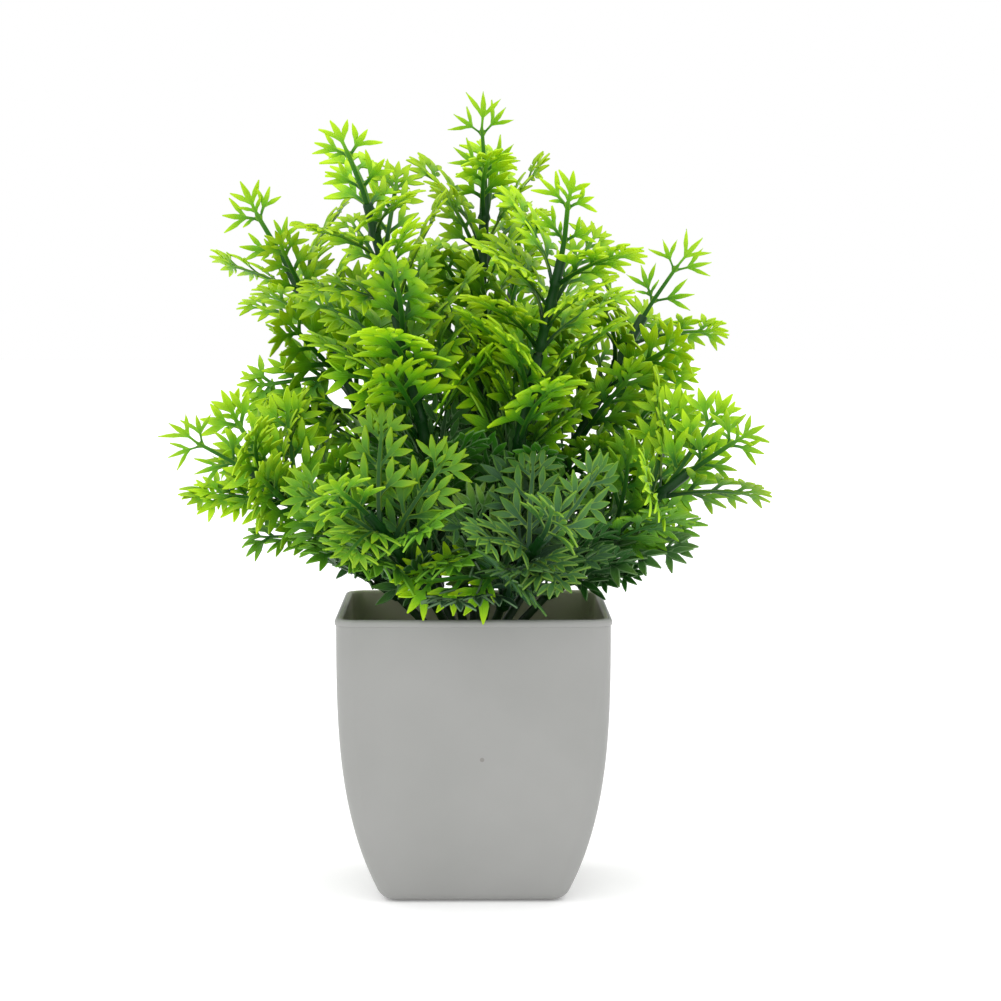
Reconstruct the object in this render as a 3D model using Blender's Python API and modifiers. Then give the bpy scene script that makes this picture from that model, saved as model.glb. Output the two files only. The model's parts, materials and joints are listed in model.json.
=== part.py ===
"""An artificial fern bush in a square plastic pot.

Twelve wire-cored stems carry moulded sprays of fronds. Their ball ends sit in a plastic crown, whose spike
pushes into a foam plug over a cement weight. Metres, +Z up, origin under the middle of the pot, front at -Y.
"""

import math
from collections import namedtuple

import bmesh
import bpy
from mathutils import Matrix, Vector

CLEARANCE = 0.0003

# Pot: a square with round corners, whose sides curve in towards the base
POT_HEIGHT = 0.0845
POT_TOP_HALF = 0.0396
POT_BASE_HALF = 0.0268
POT_CURVE = 3.2
POT_WALL = 0.0018
POT_FLOOR = 0.0025
POT_EDGE = 0.0028
TOP_CORNER = 0.0060
BASE_CORNER = 0.0050
LEAST_CORNER = 0.0010
LIP_OUT = 0.0004
LIP_HEIGHT = 0.0021
SIDE_STEPS = 10
CORNER_STEPS = 3
EDGE_STEPS = 3

# What fills the pot
BALLAST_HEIGHT = 0.0150
FOAM_BELOW_RIM = 0.0240
FILL_STEPS = 6

# Crown: a dome of sockets on a flange, with a spike below
CROWN_RADIUS = 0.0130
FLANGE_RADIUS = 0.0155
FLANGE_HEIGHT = 0.0020
SPIKE_RADIUS = 0.0040
SPIKE_LENGTH = 0.0260
SPIKE_POINT = 0.0050
BORE_SPARE = 0.0020
DOME_STEPS = 6
TURNED_SIDES = 18

# Stems
BALL_RADIUS = 0.0017
STEM_ROOT_RADIUS = 0.0014
STEM_END_RADIUS = 0.0009
STEM_STEP = 0.0180
BALL_STEPS = 4
BALL_FOOT = math.radians(-75)
NECK_LENGTH = 0.0004

# Leaves: fronds on collars
COLLAR_WALL = 0.0009
COLLAR_LENGTH = 0.0070
COLLAR_SIDES = 6
CAP_THICKNESS = 0.0016
FROND_THICKNESS = 0.0009
RACHIS_HALF = 0.0008
PINNA_BASE = 0.0034
PINNA_ANGLE = math.radians(48)
FIRST_PINNA = 0.30
LAST_PINNA = 0.68
PINNA_SHARE = 0.34
PINNA_FALL = 0.07
END_PINNA_HALF = 0.0017
END_PINNA = 0.86
FROND_CURL = 0.16
END_FROND_LENGTH = 0.0240
LEAST_LEAN = math.radians(16)
MOST_LEAN = math.radians(38)

# Each spray: its name, its place as a share of the stem, the fronds' length and pairs of pinnae, how far it is
# turned from the stem's own turn, and its colour
Spray = namedtuple("Spray", "name share length pairs turn colour")
SPRAYS = (
    Spray("low", 0.34, 0.027, 2, 0, (0.06, 0.16, 0.06)),
    Spray("mid", 0.61, 0.035, 3, 60, (0.10, 0.30, 0.02)),
    Spray("tip", 1.00, 0.026, 2, 90, (0.32, 0.56, 0.01)),
)
SPRAY_FRONDS = 3

# Each stem: its compass angle (0 at +X, 90 at the back), its angle from upright, the distance from the
# crown's middle to its leaf tip, how far it droops along its length, the half angle that its fronds keep
# within, and how far its fronds are turned about it
Stem = namedtuple("Stem", "compass lean reach droop spread turn")
STEMS = (
    Stem(60, 3, 0.168, 4, 10, 0),
    Stem(236, 21, 0.172, 6, 10, 60),
    Stem(157, 27, 0.160, 8, 10, 0),
    Stem(302, 21, 0.156, 6, 10, 0),
    Stem(8, 26, 0.142, 8, 10, 60),
    Stem(76, 24, 0.150, 6, 10, 30),
    Stem(190, 48, 0.114, 12, 14, 0),
    Stem(238, 48, 0.100, 14, 14, 30),
    Stem(290, 52, 0.096, 16, 14, 90),
    Stem(346, 47, 0.112, 12, 14, 0),
    Stem(43, 47, 0.104, 12, 14, 30),
    Stem(118, 47, 0.104, 12, 14, 0),
)

# Where the pieces meet
FOAM_TOP = POT_HEIGHT - FOAM_BELOW_RIM
BALLAST_TOP = POT_FLOOR + CLEARANCE + BALLAST_HEIGHT
FLANGE_BOTTOM = FOAM_TOP + CLEARANCE
DOME_BOTTOM = FLANGE_BOTTOM + FLANGE_HEIGHT


def side_half(height):
    """Half the pot's outer width at this height."""
    rise = (1 - height / POT_HEIGHT) ** POT_CURVE
    return POT_TOP_HALF - (POT_TOP_HALF - POT_BASE_HALF) * rise


def square_ring(height, inset):
    """Points round the pot's section at this height, moved in from its outer side by inset."""
    share = height / POT_HEIGHT
    corner = BASE_CORNER + (TOP_CORNER - BASE_CORNER) * share - inset
    corner = max(corner, LEAST_CORNER)
    centre = Vector((1, 1, 0)) * (side_half(height) - inset - corner)
    points = []
    for quarter in range(4):
        turned = Matrix.Rotation(math.radians(90 * quarter), 3, "Z")
        for step in range(CORNER_STEPS + 1):
            angle = math.radians(90 * step / CORNER_STEPS)
            on_arc = Vector((math.cos(angle), math.sin(angle), 0)) * corner
            points.append(turned @ (centre + on_arc) + Vector((0, 0, height)))
    return points


def levels(low, high, steps):
    return [low + (high - low) * step / steps for step in range(steps + 1)]


def material(name, colour, roughness):
    made = bpy.data.materials.new(name)
    made.use_nodes = True
    shader = made.node_tree.nodes["Principled BSDF"]
    shader.inputs["Base Color"].default_value = (*colour, 1)
    shader.inputs["Roughness"].default_value = roughness
    made.diffuse_color = (*colour, 1)
    return made


def mesh_from(shape, name):
    mesh = bpy.data.meshes.new(name)
    shape.to_mesh(mesh)
    shape.free()
    return mesh


def add_object(name, data, collection, surface=None, parent=None):
    made = bpy.data.objects.new(name, data)
    collection.objects.link(made)
    made.parent = parent
    if surface:
        data.materials.append(surface)
    return made


def add_empty(name, place, collection, parent=None):
    empty = bpy.data.objects.new(name, None)
    empty.empty_display_size = CROWN_RADIUS
    collection.objects.link(empty)
    empty.parent = parent
    empty.matrix_local = place
    return empty


def cut(target, cutter, itself=False):
    boolean = target.modifiers.new("cut " + cutter.name, "BOOLEAN")
    boolean.operation = "DIFFERENCE"
    boolean.object = cutter
    boolean.use_self = itself


def add_cutter(name, mesh, cutters, parent=None):
    cutter = add_object(name, mesh, cutters, parent=parent)
    cutter.hide_render = True
    cutter.display_type = "WIRE"
    return cutter


def loft(name, rings):
    """A solid through rings of equally many points, from the lowest outer one on."""
    shape = bmesh.new()
    loops = [[shape.verts.new(point) for point in ring] for ring in rings]
    for lower, upper in zip(loops, loops[1:]):
        for i in range(len(lower)):
            j = (i + 1) % len(lower)
            shape.faces.new((lower[i], lower[j], upper[j], upper[i]))
    shape.faces.new(reversed(loops[0]))
    shape.faces.new(loops[-1])
    return mesh_from(shape, name)


def add_pot(collection):
    rings = []
    for step in range(EDGE_STEPS):
        angle = math.radians(90 * step / EDGE_STEPS)
        rings.append((POT_EDGE * (1 - math.cos(angle)), POT_EDGE * (1 - math.sin(angle))))
    lip_bottom = POT_HEIGHT - LIP_HEIGHT
    rings += [(height, 0) for height in levels(POT_EDGE, lip_bottom, SIDE_STEPS)]
    rim_half = (POT_WALL + LIP_OUT) / 2
    rings.append((lip_bottom, -LIP_OUT))
    for step in range(2 * EDGE_STEPS + 1):
        angle = math.radians(90 * step / EDGE_STEPS)
        height = POT_HEIGHT - rim_half * (1 - math.sin(angle))
        rings.append((height, rim_half * (1 - math.cos(angle)) - LIP_OUT))
    inner = levels(POT_HEIGHT - LIP_HEIGHT, POT_FLOOR, SIDE_STEPS)
    rings += [(height, POT_WALL) for height in inner]
    mesh = loft("pot", [square_ring(height, inset) for height, inset in rings])
    return add_object("pot", mesh, collection, material("pot_plastic", (0.60, 0.60, 0.58), 0.45))


def add_filling(name, bottom, top, colour, collection):
    inset = POT_WALL + CLEARANCE
    rings = [square_ring(height, inset) for height in levels(bottom, top, FILL_STEPS)]
    return add_object(name, loft(name, rings), collection, material(name, colour, 0.9))


def add_cylinder(shape, radius, bottom, top, sides):
    made = bmesh.ops.create_cone(
        shape, cap_ends=True, segments=sides, radius1=radius, radius2=radius, depth=top - bottom
    )
    bmesh.ops.translate(shape, verts=made["verts"], vec=(0, 0, (bottom + top) / 2))
    return made["verts"]


def add_foam(collection, cutters):
    foam = add_filling("foam_plug", BALLAST_TOP + CLEARANCE, FOAM_TOP, (0.30, 0.33, 0.12), collection)
    shape = bmesh.new()
    bottom = FLANGE_BOTTOM - SPIKE_LENGTH - BORE_SPARE
    add_cylinder(shape, SPIKE_RADIUS + CLEARANCE, bottom, FOAM_TOP + BORE_SPARE, TURNED_SIDES)
    cut(foam, add_cutter("spike_bore", mesh_from(shape, "spike_bore"), cutters))


def direction(compass, lean):
    return Vector(
        (math.sin(lean) * math.cos(compass), math.sin(lean) * math.sin(compass), math.cos(lean))
    )


def root_lean(stem):
    return math.radians(stem.lean - stem.droop / 2)


def socket_place(stem):
    """The frame at a stem's ball: Z along its root, X away from the bush's middle, Y on its bending axis."""
    compass = math.radians(stem.compass)
    outward = direction(compass, root_lean(stem)) * CROWN_RADIUS
    turned = Matrix.Rotation(compass, 4, "Z") @ Matrix.Rotation(root_lean(stem), 4, "Y")
    return Matrix.Translation(outward + Vector((0, 0, DOME_BOTTOM))) @ turned


def add_crown(collection, cutters):
    """The crown's profile runs from the dome's top down to the spike's point."""
    profile = [
        (CROWN_RADIUS * math.sin(turn), DOME_BOTTOM + CROWN_RADIUS * math.cos(turn))
        for turn in levels(0, math.radians(90), DOME_STEPS)
    ]
    spike_bottom = FLANGE_BOTTOM - SPIKE_LENGTH
    profile += [
        (FLANGE_RADIUS, DOME_BOTTOM),
        (FLANGE_RADIUS, FLANGE_BOTTOM),
        (SPIKE_RADIUS, FLANGE_BOTTOM),
        (SPIKE_RADIUS, spike_bottom + SPIKE_POINT),
        (0, spike_bottom),
    ]
    shape = bmesh.new()
    points = [shape.verts.new((x, 0, z - DOME_BOTTOM)) for x, z in profile]
    for upper, lower in zip(points, points[1:]):
        shape.edges.new((upper, lower))
    lift = add_empty("bush_lift", Matrix.Translation((0, 0, DOME_BOTTOM)), collection)
    surface = material("crown_plastic", (0.015, 0.05, 0.015), 0.5)
    crown = add_object("crown", mesh_from(shape, "crown"), collection, surface, lift)
    screw = crown.modifiers.new("turned", "SCREW")
    screw.steps = TURNED_SIDES
    screw.render_steps = TURNED_SIDES
    screw.use_merge_vertices = True
    screw.merge_threshold = 0.00001
    for number, stem in enumerate(STEMS, 1):
        shape = bmesh.new()
        bmesh.ops.create_uvsphere(shape, u_segments=8, v_segments=6, radius=BALL_RADIUS + CLEARANCE)
        name = f"socket_{number:02d}"
        cutter = add_cutter(name, mesh_from(shape, name), cutters)
        cutter.matrix_world = socket_place(stem)
        cut(crown, cutter)
    return lift


def stem_length(stem):
    return stem.reach - CROWN_RADIUS - END_FROND_LENGTH


def stem_radius(stem, along):
    return STEM_ROOT_RADIUS + (STEM_END_RADIUS - STEM_ROOT_RADIUS) * along / stem_length(stem)


def on_stem(stem, along):
    """The frame at this distance up a stem, which is an arc in its own XZ plane."""
    turn = math.radians(stem.droop) / stem_length(stem)
    angle = turn * along
    place = Vector(((1 - math.cos(angle)) / turn, 0, math.sin(angle) / turn))
    return Matrix.Translation(place) @ Matrix.Rotation(angle, 4, "Y")


def add_stem(number, stem, collection, surface, parent):
    """A tapered wire along the arc, whose first points swell into the ball."""
    length = stem_length(stem)
    neck = math.acos(STEM_ROOT_RADIUS / BALL_RADIUS)
    turns = levels(BALL_FOOT, neck, BALL_STEPS)
    points = [(BALL_RADIUS * math.sin(turn), BALL_RADIUS * math.cos(turn)) for turn in turns]
    first = points[-1][0] + NECK_LENGTH
    for along in levels(first, length, round(length / STEM_STEP)):
        points.append((along, stem_radius(stem, along)))
    curve = bpy.data.curves.new("stem", "CURVE")
    curve.dimensions = "3D"
    curve.bevel_depth = 1.0
    curve.bevel_resolution = 1
    curve.use_fill_caps = True
    spline = curve.splines.new("POLY")
    spline.points.add(len(points) - 1)
    for point, (along, radius) in zip(spline.points, points):
        point.co = (*on_stem(stem, along).translation, 1)
        point.radius = radius
    mesh = solid_from_curve(curve, f"stem_{number:02d}")
    return add_object(f"stem_{number:02d}", mesh, collection, surface, parent)


def solid_from_curve(curve, name):
    """The curve's mesh with its caps welded on."""
    guide = bpy.data.objects.new("guide", curve)
    bpy.context.scene.collection.objects.link(guide)
    evaluated = guide.evaluated_get(bpy.context.evaluated_depsgraph_get())
    mesh = bpy.data.meshes.new_from_object(evaluated)
    mesh.name = name
    bpy.data.objects.remove(guide)
    bpy.data.curves.remove(curve)
    shape = bmesh.new()
    shape.from_mesh(mesh)
    bmesh.ops.remove_doubles(shape, verts=shape.verts, dist=0.000001)
    bmesh.ops.recalc_face_normals(shape, faces=shape.faces)
    shape.to_mesh(mesh)
    shape.free()
    return mesh


def flat_frond(length, pairs):
    """A flat frond along +Y from its foot at the origin: a rachis with pairs of pointed pinnae."""
    right = [(RACHIS_HALF, 0)]
    for number in range(pairs):
        share = FIRST_PINNA + (LAST_PINNA - FIRST_PINNA) * number / (pairs - 1)
        along = length * share
        size = length * (PINNA_SHARE - PINNA_FALL * number)
        right.append((RACHIS_HALF, along))
        right.append((RACHIS_HALF + size * math.sin(PINNA_ANGLE), along + size * math.cos(PINNA_ANGLE)))
        right.append((RACHIS_HALF, along + PINNA_BASE))
    right.append((END_PINNA_HALF, length * END_PINNA))
    outline = right + [(0, length)] + [(-x, y) for x, y in reversed(right)]
    curve = bpy.data.curves.new("frond", "CURVE")
    curve.dimensions = "2D"
    curve.fill_mode = "BOTH"
    curve.extrude = FROND_THICKNESS / 2
    spline = curve.splines.new("POLY")
    spline.points.add(len(outline) - 1)
    spline.use_cyclic_u = True
    for point, (x, y) in zip(spline.points, outline):
        point.co = (x, y, 0, 1)
    return solid_from_curve(curve, "flat_frond")


def frond_place(foot, lean, turn):
    """The frame of a frond: its length on Y leaning out from the stem's Z, its upper face on Z."""
    upright = Matrix.Rotation(math.radians(-90), 4, "Z") @ Matrix.Rotation(math.radians(90), 4, "X")
    out = Matrix.Rotation(turn, 4, "Z") @ Matrix.Translation((foot, 0, 0))
    return out @ Matrix.Rotation(lean, 4, "Y") @ upright


def add_frond(shape, flat, length, place):
    """Adds a copy of the flat frond, curled back over its length."""
    copied = bmesh.new()
    copied.from_mesh(flat)
    for vert in copied.verts:
        share = vert.co.y / length
        vert.co.z -= FROND_CURL * length * share * abs(share)
    bmesh.ops.transform(copied, matrix=place, verts=copied.verts)
    placed = mesh_from(copied, "placed frond")
    shape.from_mesh(placed)
    bpy.data.meshes.remove(placed)


def spray_lean(stem, along, length):
    """How far a frond may lean out and still end within its stem's own cone."""
    room = (CROWN_RADIUS + along + length / 2) * math.tan(math.radians(stem.spread))
    return min(max(math.asin(min(room / length, 1)), LEAST_LEAN), MOST_LEAN)


def add_leaves(number, stem, spray, fronds, surface, collection, cutters, parent):
    """One moulded spray: a collar round the stem, or a cap on its end, with fronds about it."""
    length = stem_length(stem)
    is_tip = spray.share == 1
    along = length * spray.share - (COLLAR_LENGTH if is_tip else 0)
    bore_top = length - along + CLEARANCE if is_tip else 2 * COLLAR_LENGTH
    top = bore_top + CAP_THICKNESS if is_tip else COLLAR_LENGTH
    inner = (stem_radius(stem, along) + CLEARANCE) / math.cos(math.pi / COLLAR_SIDES)
    outer = inner + COLLAR_WALL
    shape = bmesh.new()
    add_cylinder(shape, outer, 0, top, COLLAR_SIDES)
    lean = spray_lean(stem, along, spray.length)
    start = stem.turn + spray.turn
    sides = SPRAY_FRONDS - is_tip
    for frond in range(sides):
        turn = math.radians(start + 360 * frond / sides)
        lift = COLLAR_LENGTH * (frond + 0.5) / SPRAY_FRONDS
        place = Matrix.Translation((0, 0, lift)) @ frond_place(inner + COLLAR_WALL / 2, lean, turn)
        add_frond(shape, fronds[spray.name], spray.length, place)
    if is_tip:
        foot = Matrix.Translation((0, 0, bore_top + CLEARANCE))
        place = foot @ frond_place(0, 0, math.radians(start))
        add_frond(shape, fronds["end"], END_FROND_LENGTH, place)
    name = f"leaves_{number:02d}_{spray.name}"
    leaves = add_object(name, mesh_from(shape, name), collection, surface, parent)
    leaves.matrix_local = on_stem(stem, along)
    shape = bmesh.new()
    add_cylinder(shape, inner, -COLLAR_LENGTH, bore_top, COLLAR_SIDES)
    bore = add_cutter(f"bore_{number:02d}_{spray.name}", mesh_from(shape, "bore"), cutters, parent)
    bore.matrix_local = on_stem(stem, along)
    cut(leaves, bore, itself=True)


def new_collection(name):
    made = bpy.data.collections.new(name)
    bpy.context.scene.collection.children.link(made)
    return made


def build():
    for old in list(bpy.data.objects):
        bpy.data.objects.remove(old, do_unlink=True)
    collection = new_collection("potted_fern_bush")
    cutters = new_collection("cutters")
    add_pot(collection)
    add_filling("ballast", POT_FLOOR + CLEARANCE, BALLAST_TOP, (0.45, 0.44, 0.42), collection)
    add_foam(collection, cutters)
    lift = add_crown(collection, cutters)
    to_lift = Matrix.Translation((0, 0, -DOME_BOTTOM))
    stem_plastic = material("stem_plastic", (0.02, 0.07, 0.02), 0.5)
    greens = {spray.name: material("leaf_" + spray.name, spray.colour, 0.5) for spray in SPRAYS}
    fronds = {spray.name: flat_frond(spray.length, spray.pairs) for spray in SPRAYS}
    fronds["end"] = flat_frond(END_FROND_LENGTH, 2)
    for number, stem in enumerate(STEMS, 1):
        root = add_empty(f"bend_{number:02d}", to_lift @ socket_place(stem), collection, lift)
        add_stem(number, stem, collection, stem_plastic, root)
        for spray in SPRAYS:
            add_leaves(number, stem, spray, fronds, greens[spray.name], collection, cutters, root)


build()
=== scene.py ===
import json
import math
import random
from collections import namedtuple

import bmesh
import bpy
from mathutils import Matrix, Vector


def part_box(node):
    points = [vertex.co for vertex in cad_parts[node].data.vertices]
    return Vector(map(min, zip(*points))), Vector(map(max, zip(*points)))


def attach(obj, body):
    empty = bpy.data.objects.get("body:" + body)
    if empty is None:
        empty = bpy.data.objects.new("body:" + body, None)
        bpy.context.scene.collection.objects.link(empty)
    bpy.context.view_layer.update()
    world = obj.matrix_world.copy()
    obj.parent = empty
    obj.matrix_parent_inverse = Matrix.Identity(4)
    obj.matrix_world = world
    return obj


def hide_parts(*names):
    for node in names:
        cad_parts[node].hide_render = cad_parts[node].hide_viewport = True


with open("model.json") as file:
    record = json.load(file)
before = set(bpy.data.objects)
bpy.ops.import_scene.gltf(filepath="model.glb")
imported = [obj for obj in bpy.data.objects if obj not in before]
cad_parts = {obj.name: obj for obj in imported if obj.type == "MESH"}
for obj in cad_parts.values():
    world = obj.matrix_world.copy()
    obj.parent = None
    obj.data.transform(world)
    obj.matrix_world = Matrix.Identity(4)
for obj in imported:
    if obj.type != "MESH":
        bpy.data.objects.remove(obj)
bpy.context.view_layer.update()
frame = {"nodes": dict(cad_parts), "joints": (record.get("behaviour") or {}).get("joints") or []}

# ---------------------------------------------------------------------------------------------------------------
# Pot. Injection-moulded satin plastic in one piece: a square with round corners, sides that curve in towards the
# base, and a low lip round the rim. The base has a shallow hollow, so that it stands on its edge.

POT_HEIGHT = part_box("pot")[1].z
POT_TOP_HALF = 0.0396
POT_BASE_HALF = 0.0268
POT_CURVE = 3.2
POT_WALL = 0.0018
POT_FLOOR = 0.0025
POT_EDGE = 0.0028
TOP_CORNER = 0.0060
BASE_CORNER = 0.0050
LIP_OUT = 0.0004
LIP_HEIGHT = 0.0021
LIP_STEP = 0.0003
THINNEST_CORNER = 0.0010
POT_SHARP_ANGLE = 38
FOOT_WIDTH = 0.0030
FOOT_DEPTH = 0.0008
CORNER_SEGMENTS = 8
SIDE_CUTS = 5
SIDE_LEVELS = 26
EDGE_LEVELS = 6

Level = namedtuple("Level", "height half corner")


def pot_level(height, inset):
    """The pot's section at a height, moved in from its outer side by inset."""
    rise = (1 - height / POT_HEIGHT) ** POT_CURVE
    half = POT_TOP_HALF - (POT_TOP_HALF - POT_BASE_HALF) * rise - inset
    corner = BASE_CORNER + (TOP_CORNER - BASE_CORNER) * height / POT_HEIGHT - inset
    return Level(height, half, max(corner, THINNEST_CORNER))


def pot_levels():
    """Levels up the outside, over the rim and down the inside."""
    found = []
    for step in range(1, EDGE_LEVELS + 1):
        angle = math.radians(90 * step / EDGE_LEVELS)
        found.append(pot_level(POT_EDGE * (1 - math.sin(angle)), POT_EDGE * (1 - math.cos(angle))))
    found.reverse()
    lip_bottom = POT_HEIGHT - LIP_HEIGHT
    for step in range(SIDE_LEVELS + 1):
        height = POT_EDGE + (lip_bottom - POT_EDGE) * step / SIDE_LEVELS
        found.append(pot_level(height, 0))
    found.append(pot_level(lip_bottom + LIP_STEP / 2, -LIP_OUT * 0.7))
    found.append(pot_level(lip_bottom + LIP_STEP * 1.5, -LIP_OUT))
    rim_half = (POT_WALL + LIP_OUT) / 2
    for step in range(2 * EDGE_LEVELS + 1):
        angle = math.radians(90 * step / EDGE_LEVELS)
        height = POT_HEIGHT - rim_half * (1 - math.sin(angle))
        found.append(pot_level(height, rim_half * (1 - math.cos(angle)) - LIP_OUT))
    for step in range(SIDE_LEVELS + 1):
        height = lip_bottom - (lip_bottom - POT_FLOOR) * step / SIDE_LEVELS
        found.append(pot_level(height, POT_WALL))
    return found


def sharpen(shape, degrees):
    """Smooth faces, with a sharp edge wherever two faces meet at more than this angle."""
    for face in shape.faces:
        face.smooth = True
    for edge in shape.edges:
        edge.smooth = edge.calc_face_angle(0) < math.radians(degrees)


def add_piece(name, shape, surface, body, slot, *nodes):
    """Makes a finished mesh a piece that rides on a body and stands for CAD nodes."""
    mesh = bpy.data.meshes.new(name)
    shape.to_mesh(mesh)
    shape.free()
    mesh.materials.append(surface)
    piece = bpy.data.objects.new(name, mesh)
    bpy.context.scene.collection.objects.link(piece)
    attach(piece, body)
    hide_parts(*nodes)
    return piece


def new_surface(name):
    """A material, its node tree, and a function that adds a node to it and sets its values."""
    surface = bpy.data.materials.new(name)
    surface.use_nodes = True
    tree = surface.node_tree

    def node(kind, **values):
        made = tree.nodes.new("ShaderNode" + kind)
        for key, value in values.items():
            if key in made.inputs:
                made.inputs[key].default_value = value
            else:
                setattr(made, key, value)
        return made

    return surface, tree, node


def shape_pot():
    """The base's outline, extruded through every level, then closed inside and hollowed underneath."""
    shape = bmesh.new()
    inside = shape.verts.layers.float.new("inside")
    levels = pot_levels()
    first = levels[0]
    square = bmesh.ops.create_circle(shape, cap_ends=True, segments=4, radius=first.half * math.sqrt(2))
    turn = Matrix.Rotation(math.radians(45), 3, "Z")
    bmesh.ops.rotate(shape, verts=square["verts"], cent=(0, 0, 0), matrix=turn)
    bmesh.ops.bevel(
        shape, geom=shape.verts[:], offset=first.corner, offset_type="OFFSET", segments=CORNER_SEGMENTS,
        profile=0.5, affect="VERTICES", material=-1,
    )
    sides = [edge for edge in shape.edges if edge.calc_length() > first.half]
    bmesh.ops.subdivide_edges(shape, edges=sides, cuts=SIDE_CUTS)
    bmesh.ops.translate(shape, verts=shape.verts[:], vec=(0, 0, first.height))
    base = shape.faces[:]
    ring = shape.edges[:]
    for was, now in zip(levels, levels[1:]):
        made = bmesh.ops.extrude_edge_only(shape, edges=ring)["geom"]
        verts = {part for part in made if isinstance(part, bmesh.types.BMVert)}
        for vert in verts:
            for axis in (0, 1):
                flat, new_flat = was.half - was.corner, now.half - now.corner
                out = abs(vert.co[axis])
                if out > flat:
                    out = new_flat + (out - flat) / was.corner * now.corner
                else:
                    out *= new_flat / flat
                vert.co[axis] = math.copysign(out, vert.co[axis])
            vert.co.z = now.height
            vert[inside] = now.height < was.height
        ring = [e for e in shape.edges if e.verts[0] in verts and e.verts[1] in verts]
    bmesh.ops.contextual_create(shape, geom=ring)
    bmesh.ops.inset_region(shape, faces=base, thickness=FOOT_WIDTH, depth=0)
    bmesh.ops.inset_region(shape, faces=base, thickness=FOOT_DEPTH, depth=FOOT_DEPTH)
    bmesh.ops.recalc_face_normals(shape, faces=shape.faces[:])
    sharpen(shape, POT_SHARP_ANGLE)
    return shape


def pot_surface():
    """Satin plastic, faintly clouded and rippled, with a few specks, and painted light on the inside: a lighter,
    yellower colour for the green light thrown into the pot.
    """
    surface, tree, node = new_surface("pot_plastic")
    shader = tree.nodes["Principled BSDF"]
    place = node("TexCoord").outputs["Object"]
    cloud = node("TexNoise", Scale=28.0, Detail=3.0, Roughness=0.5)
    tone = node("ValToRGB")
    tone.color_ramp.elements[0].position = 0.3
    tone.color_ramp.elements[0].color = (0.284, 0.286, 0.275, 1)
    tone.color_ramp.elements[1].position = 0.7
    tone.color_ramp.elements[1].color = (0.312, 0.312, 0.303, 1)
    specks = node("TexVoronoi", Scale=55.0)
    near = node("Math", operation="LESS_THAN")
    near.inputs[1].default_value = 0.035
    pick = node("TexNoise", Scale=40.0, Detail=0.0)
    some = node("Math", operation="GREATER_THAN")
    some.inputs[1].default_value = 0.60
    both = node("Math", operation="MULTIPLY")
    speckled = node("Mix", data_type="RGBA")
    speckled.inputs["B"].default_value = (0.22, 0.21, 0.20, 1)
    # Painted light: inside the pot the colour is mixed towards a lighter yellow-green, for the light that the
    # foliage throws onto the inner wall.
    inside = node("Attribute", attribute_name="inside")
    painted_bounce_light = node("Mix", data_type="RGBA")
    painted_bounce_light.inputs["B"].default_value = (0.50, 0.49, 0.37, 1)
    grain = node("TexNoise", Scale=900.0, Detail=2.0)
    ripple = node("TexNoise", Scale=60.0, Detail=1.0)
    sheen = node("MapRange")
    sheen.inputs["To Min"].default_value = 0.36
    sheen.inputs["To Max"].default_value = 0.50
    fine = node("Bump", Strength=0.10, Distance=0.0002)
    broad = node("Bump", Strength=0.12, Distance=0.0010)
    link = tree.links.new
    for texture in (cloud, specks, pick, grain, ripple):
        link(place, texture.inputs["Vector"])
    link(cloud.outputs["Fac"], tone.inputs["Fac"])
    link(specks.outputs["Distance"], near.inputs[0])
    link(pick.outputs["Fac"], some.inputs[0])
    link(near.outputs[0], both.inputs[0])
    link(some.outputs[0], both.inputs[1])
    link(both.outputs[0], speckled.inputs["Factor"])
    link(tone.outputs["Color"], speckled.inputs["A"])
    link(speckled.outputs["Result"], painted_bounce_light.inputs["A"])
    link(inside.outputs["Fac"], painted_bounce_light.inputs["Factor"])
    link(painted_bounce_light.outputs["Result"], shader.inputs["Base Color"])
    link(cloud.outputs["Fac"], sheen.inputs["Value"])
    link(sheen.outputs["Result"], shader.inputs["Roughness"])
    link(ripple.outputs["Fac"], broad.inputs["Height"])
    link(grain.outputs["Fac"], fine.inputs["Height"])
    link(broad.outputs["Normal"], fine.inputs["Normal"])
    link(fine.outputs["Normal"], shader.inputs["Normal"])
    return surface


add_piece("pot_shell", shape_pot(), pot_surface(), "pot", "pot_plastic", "pot")

# ---------------------------------------------------------------------------------------------------------------
# Filling. A cement weight cast in the pot's bottom, and over it a block of dry flower foam, cut to the pot and
# pushed in. Both are plain blocks whose surfaces show what they are made of.


def porous_surface(name, low_colour, high_colour, pore_scale, depth):
    """A dry, clouded surface with open pores."""
    surface, tree, node = new_surface(name)
    shader = tree.nodes["Principled BSDF"]
    place = node("TexCoord").outputs["Object"]
    cloud = node("TexNoise", Scale=pore_scale / 4, Detail=6.0)
    pores = node("TexVoronoi", Scale=pore_scale)
    tone = node("ValToRGB")
    tone.color_ramp.elements[0].color = (*low_colour, 1)
    tone.color_ramp.elements[1].color = (*high_colour, 1)
    dry = node("MapRange")
    dry.inputs["To Min"].default_value = 0.80
    dry.inputs["To Max"].default_value = 0.98
    hollows = node("Bump", Strength=0.8, Distance=depth)
    uneven = node("Bump", Strength=0.5, Distance=depth * 2)
    link = tree.links.new
    link(place, cloud.inputs["Vector"])
    link(place, pores.inputs["Vector"])
    link(cloud.outputs["Fac"], tone.inputs["Fac"])
    link(tone.outputs["Color"], shader.inputs["Base Color"])
    link(cloud.outputs["Fac"], dry.inputs["Value"])
    link(dry.outputs["Result"], shader.inputs["Roughness"])
    link(cloud.outputs["Fac"], uneven.inputs["Height"])
    link(pores.outputs["Distance"], hollows.inputs["Height"])
    link(uneven.outputs["Normal"], hollows.inputs["Normal"])
    link(hollows.outputs["Normal"], shader.inputs["Normal"])
    return surface


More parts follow.
